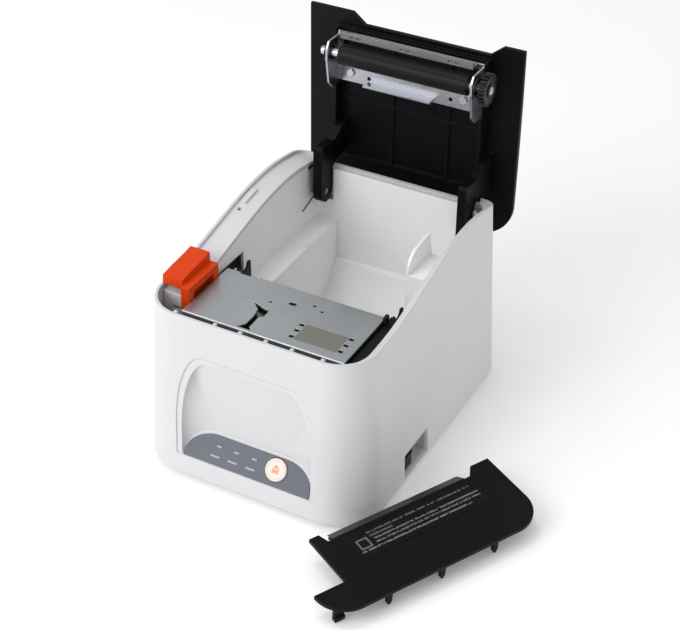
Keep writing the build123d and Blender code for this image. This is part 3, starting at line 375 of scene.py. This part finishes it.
dress(moulded("button_cream", (0.80, 0.74, 0.68), 0.33, grain=0.5, paint=button_print), "feed_button")

# ---------------------------------------------------------------------------------------------
# Lid: the outer panel and the ribbed frame inside it.
# Black ABS with a satin grain that shows a purple-grey sheen where the light grazes it.
LID_BLACK = (0.0042, 0.0036, 0.0055)
satin_black = moulded("satin_black", LID_BLACK, 0.42, grain=0.5, edge=0.0006, edge_highlight_and_polish=0.05, specular=0.10)
MERGE = 0.000002  # corners nearer than this are one
FLAT = math.radians(0.6)  # faces that meet at less than this are one
SHARP = math.radians(40)  # edges that turn more than this are rounded


def add_piece(name, mesh, body, stands_for):
    """A new piece from a mesh, riding on a body and standing for a CAD node."""
    piece = bpy.data.objects.new(name, mesh)
    bpy.context.collection.objects.link(piece)
    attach(piece, body)
    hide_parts(stands_for)
    return piece


def soften(name, material, body, radius):
    """Stands for a CAD node with a merged copy whose sharp edges are rounded."""
    mesh = nodes[name].data.copy()
    if mesh.attributes.get("custom_normal"):
        mesh.attributes.remove(mesh.attributes["custom_normal"])
    shape = bmesh.new()
    shape.from_mesh(mesh)
    bmesh.ops.remove_doubles(shape, verts=shape.verts, dist=MERGE)
    bmesh.ops.dissolve_limit(shape, angle_limit=FLAT, verts=shape.verts, edges=shape.edges)
    shape.to_mesh(mesh)
    shape.free()
    mesh.materials.clear()
    mesh.materials.append(material)
    mesh.shade_smooth()
    piece = add_piece(name + "_eased", mesh, body, name)
    bevel = piece.modifiers.new("eased", "BEVEL")
    bevel.width = radius
    bevel.segments = 2
    bevel.limit_method = "ANGLE"
    bevel.angle_limit = SHARP
    bevel.harden_normals = True


dress(satin_black, "lid_frame")
soften("lid_panel", satin_black, "lid", 0.0006)

# ---------------------------------------------------------------------------------------------
# Platen: a ground rubber roller on a polished shaft, its gear and its bushes.
# The rubber is nearly black with a brown sheen; the gear and bushes are dark acetal.
RUBBER_BLACK = (0.0050, 0.0045, 0.0055)
ACETAL_BLACK = (0.010, 0.010, 0.012)
platen_rubber = moulded("platen_rubber", RUBBER_BLACK, 0.40, grain=0.3, depth=0.00001, specular=0.16)
dress(platen_rubber, "platen_roller")
shaft_steel = plated("shaft_steel", (0.60, 0.60, 0.62), 0.2)
dress(shaft_steel, "platen_shaft", "lever_pin", "latch_pin", "cutter_stud", "idler_stud", "hinge_pins")
acetal_dark = moulded("acetal_dark", ACETAL_BLACK, 0.28, grain=0.9, edge_highlight_and_polish=0.08, specular=0.2)
dress(acetal_dark, "platen_gear", "idler_gear", "motor_pinion", "cutter_gear", "platen_bushes")

# ---------------------------------------------------------------------------------------------
# Platen bracket and the fixed blade.
# Bright zinc-plated sheet, bent up and screwed to the lid, with the ground blade along its top.
ZINC = (0.47, 0.485, 0.515)
GROUND_STEEL = (0.21, 0.20, 0.19)
bracket_zinc = plated("bracket_zinc", ZINC, 0.30, fine=2600.0, depth=0.000002)
dress(bracket_zinc, "platen_bracket", "head_stay", "latch_hook")
dress(plated("blade_ground", GROUND_STEEL, 0.28, fine=2200.0), "fixed_blade", "moving_blade")

# ---------------------------------------------------------------------------------------------
# Springs: a torsion coil on the left hinge pin, and three coils that press the print head.
# All are wound from one wire, its colour darkened as painted shade; the torsion coil has one straight leg
# down to the trough.
# Painted shade: the wire's colour is darkened to stand for the shade it lies in.
spring_wire_painted_shade = plated("spring_wire_painted_shade", (0.20, 0.20, 0.20), 0.3)
COIL_INPUTS = {
    "Turns": "NodeSocketFloat",
    "Height": "NodeSocketFloat",
    "Coil Radius": "NodeSocketFloat",
    "Wire Radius": "NodeSocketFloat",
    "Material": "NodeSocketMaterial",
}
STEPS_PER_TURN = 20
WIRE_SIDES = 8


def coil_tree():
    """Geometry Nodes: a helix of wire on each point of the mesh it is given, standing along Z."""
    tree = bpy.data.node_groups.new("coil_springs", "GeometryNodeTree")
    tree.interface.new_socket("Geometry", in_out="INPUT", socket_type="NodeSocketGeometry")
    for label, kind in COIL_INPUTS.items():
        tree.interface.new_socket(label, in_out="INPUT", socket_type=kind)
    tree.interface.new_socket("Geometry", in_out="OUTPUT", socket_type="NodeSocketGeometry")
    given = tree.nodes.new("NodeGroupInput").outputs
    result = tree.nodes.new("NodeGroupOutput")

    def place(kind, out, **inputs):
        """Adds a node and returns its named output."""
        made = tree.nodes.new("GeometryNode" + kind)
        for name, source in inputs.items():
            socket = made.inputs[name.replace("_", " ")]
            if isinstance(source, bpy.types.NodeSocket):
                tree.links.new(source, socket)
            else:
                socket.default_value = source
        return made.outputs[out]

    helix = place(
        "CurveSpiral", "Curve", Resolution=STEPS_PER_TURN, Rotations=given["Turns"],
        Height=given["Height"], Start_Radius=given["Coil Radius"], End_Radius=given["Coil Radius"],
    )
    section = place("CurvePrimitiveCircle", "Curve", Resolution=WIRE_SIDES, Radius=given["Wire Radius"])
    wire = place("CurveToMesh", "Mesh", Curve=helix, Profile_Curve=section, Fill_Caps=True)
    copies = place("InstanceOnPoints", "Instances", Points=given["Geometry"], Instance=wire)
    real = place("RealizeInstances", "Geometry", Geometry=copies)
    coated = place("SetMaterial", "Geometry", Geometry=real, Material=given["Material"])
    tree.links.new(coated, result.inputs["Geometry"])
    return tree


COILS = coil_tree()


def wind(name, places, turns, height, coil_radius, wire_radius):
    """A plain mesh of coils, one at each place, each standing along Z."""
    cloud = bpy.data.meshes.new(name + "_points")
    cloud.from_pydata(places, [], [])
    seed = bpy.data.objects.new(name + "_points", cloud)
    bpy.context.collection.objects.link(seed)
    maker = seed.modifiers.new("maker", "NODES")
    maker.node_group = COILS
    values = dict(zip(COIL_INPUTS, (turns, height, coil_radius, wire_radius, spring_wire_painted_shade)))
    for socket in COILS.interface.items_tree:
        if socket.in_out == "INPUT" and socket.name in values:
            maker[socket.identifier] = values[socket.name]
    bpy.context.view_layer.update()
    evaluated = seed.evaluated_get(bpy.context.evaluated_depsgraph_get())
    mesh = bpy.data.meshes.new_from_object(evaluated)
    bpy.data.objects.remove(seed)
    mesh.name = name
    mesh.shade_smooth()
    return mesh


def stand_on(mesh, foot, axis):
    """Turns a mesh that stands along Z so that it stands on foot along axis."""
    mesh.transform(Matrix.Translation(foot) @ axis.to_track_quat("Z", "Y").to_matrix().to_4x4())


# The head's coils stretch between the heat sink, which rocks with the head, and the fixed stay.
HEAD_SPRING_X = (-0.024, 0.0, 0.024)
HEAD_SPRING_LONG = 0.0038
HEAD_AXIS = Vector((0.0, -1.0, -1.0)).normalized()
head_low, head_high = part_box("head_springs")
sink_end = (head_low + head_high) / 2 - HEAD_AXIS * HEAD_SPRING_LONG / 2
head_places = [(x, 0, 0) for x in HEAD_SPRING_X]
head_coils = wind("head_coils", head_places, 4.5, HEAD_SPRING_LONG, 0.0018, 0.0003)
stand_on(head_coils, sink_end, HEAD_AXIS)
head_spring_coils = bpy.data.objects.new("head_spring_coils", head_coils)
bpy.context.collection.objects.link(head_spring_coils)
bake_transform(head_spring_coils)
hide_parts("head_springs")

# The torsion coil is wound round the hinge pin, and its leg slants down and forward.
LID_COIL_TURNS = 2.6
LID_COIL_LONG = 0.0021
LID_COIL_R = 0.0030
WIRE_R = 0.0005
LEG_AXIS = Vector((-0.02, -17.0, -5.0)).normalized()
LEG_LONG = 0.0155
spring_low, spring_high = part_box("lid_spring")
hinge_low, hinge_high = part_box("hinge_pins")
hinge_middle = (hinge_low + hinge_high) / 2
lid_coil = wind("lid_coil", [(0, 0, 0)], LID_COIL_TURNS, LID_COIL_LONG, LID_COIL_R, WIRE_R)
coil_foot = Vector((spring_low.x + WIRE_R * 1.1, hinge_middle.y, hinge_middle.z))
stand_on(lid_coil, coil_foot, Vector((1.0, 0.0, 0.0)))
leg_end = Vector((spring_high.x - WIRE_R, spring_low.y + WIRE_R, spring_low.z + WIRE_R))
leg_middle = leg_end - LEG_AXIS * LEG_LONG / 2
leg_turn = LEG_AXIS.to_track_quat("Z", "Y").to_matrix().to_4x4()
leg = bmesh.new()
leg.from_mesh(lid_coil)
bmesh.ops.create_cone(
    leg, cap_ends=True, segments=10, radius1=WIRE_R, radius2=WIRE_R, depth=LEG_LONG,
    matrix=Matrix.Translation(leg_middle) @ leg_turn,
)
leg.to_mesh(lid_coil)
leg.free()
add_piece("lid_spring_coil", lid_coil, "casing", "lid_spring")

# ---------------------------------------------------------------------------------------------
# Cutter cover plate and its label.
# Galvanised sheet, punched and folded over the cutter; the label is blank beige foil.
SHEET_ZINC = (0.52, 0.55, 0.565)
dress(plated("cutter_zinc", SHEET_ZINC, 0.42, fine=1100.0, cloud=0.08), "cutter_cover_plate")
LABEL_BEIGE = (0.175, 0.175, 0.150)
dress(moulded("label_foil", LABEL_BEIGE, 0.4, grain=0.3, depth=0.000006), "plate_label")

# ---------------------------------------------------------------------------------------------
# Print mechanism below the plate: frame, motors, head and heat sink.
# Glass-filled black frame, drawn steel motor cans, a glazed ceramic head on an aluminium sink.
frame_black = moulded("frame_black", (0.008, 0.008, 0.009), 0.5, grain=0.5, edge_highlight_and_polish=0.06, specular=0.18)
dress(frame_black, "mech_frame", "gear_cover", "paper_sensor", "switch_body", "power_rocker")
dress(plated("motor_can", (0.50, 0.50, 0.52), 0.4), "cutter_motor", "feed_motor")
dress(moulded("head_ceramic", (0.42, 0.38, 0.30), 0.12, grain=0.7, depth=0.000003), "print_head")
dress(plated("sink_aluminium", (0.66, 0.67, 0.69), 0.34), "heat_sink")

# ---------------------------------------------------------------------------------------------
# Release lever.
# Orange ABS, glossy from handling, pivoting on a pin at the left.
LEVER_ORANGE = (0.70, 0.055, 0.002)
lever_orange = moulded(
    "lever_orange", LEVER_ORANGE, 0.36, grain=0.35, depth=0.000008, edge_highlight_and_polish=0.06, specular=0.14,
)
soften("release_lever", lever_orange, "lever", 0.0005)

# ---------------------------------------------------------------------------------------------
# Circuit board and the three sockets at the back.
# Green solder mask, dark parts, and black socket shells.
dress(moulded("board_mask", (0.012, 0.075, 0.030), 0.35, grain=0.8), "main_board")
dress(moulded("board_part", (0.03, 0.03, 0.033), 0.45), "board_parts")
dress(moulded("socket_black", (0.02, 0.02, 0.02), 0.45), "usb_socket", "drawer_socket", "power_inlet")

# ---------------------------------------------------------------------------------------------
# Front cover with its tear bar and label, lying beside the printer.
# The same black ABS as the lid; the tear bar is brown-grey stainless strip.
soften("front_cover", satin_black, "cover", 0.0004)
dress(plated("tear_bar_steel", (0.095, 0.080, 0.073), 0.38, edge=0.0004), "tear_bar")
COVER_TURN = math.radians(62.5)
COVER_LONG = (math.cos(COVER_TURN), math.sin(COVER_TURN), 0.0)
COVER_DEEP = (-math.sin(COVER_TURN), math.cos(COVER_TURN), 0.0)
cover_label_low, cover_label_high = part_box("cover_label")
cover_label_middle = (cover_label_low + cover_label_high) / 2
INK_GREY = (0.24, 0.24, 0.25)
# Each row's middle and rise on the label, half its length, and how strong its ink is.
COVER_ROWS = (
    (0.0045, 0.0062, 0.0340, 0.55),
    (-0.0215, 0.0036, 0.0075, 0.55),
    (0.0065, 0.0010, 0.0345, 0.8),
    (0.0065, -0.0016, 0.0345, 0.8),
    (-0.0030, -0.0046, 0.0360, 0.9),
)
ROW_HALF = 0.00055
SQUARE_AT = (-0.0345, 0.0005)
SQUARE_OUT = (0.0036, 0.0036)
SQUARE_IN = (0.0026, 0.0026)


def cover_print(at, tone):
    """A plain square mark and five rows of short plain bars, broken at uneven places."""
    moved = at.node("VectorMath", {"operation": "SUBTRACT"}, {0: at, 1: tuple(cover_label_middle)})
    u = at.node("VectorMath", {"operation": "DOT_PRODUCT"}, {0: moved, 1: COVER_LONG}, "Value")
    v = at.node("VectorMath", {"operation": "DOT_PRODUCT"}, {0: moved, 1: COVER_DEEP}, "Value")
    rough_edge = noise(at, 1500.0, 1.0)
    gaps = noise(at, 700.0, 0.0) > 0.40
    ink = bar(u, v, *SQUARE_AT, *SQUARE_OUT) * (1 - bar(u, v, *SQUARE_AT, *SQUARE_IN)) * 0.7
    for middle, rise, half, strength in COVER_ROWS:
        ink = ink | bar(u, v, middle, rise, half, ROW_HALF) * gaps * strength
    return blend_colour(at, tone, INK_GREY, ink * (rough_edge * 0.7 + 0.5) & 1)


FILM_BLACK = (0.0045, 0.0038, 0.0056)
cover_label_film = moulded(
    "cover_label_film", FILM_BLACK, 0.42, grain=0.5, edge_highlight_and_polish=0.0, specular=0.11, paint=cover_print,
)
dress(cover_label_film, "cover_label")
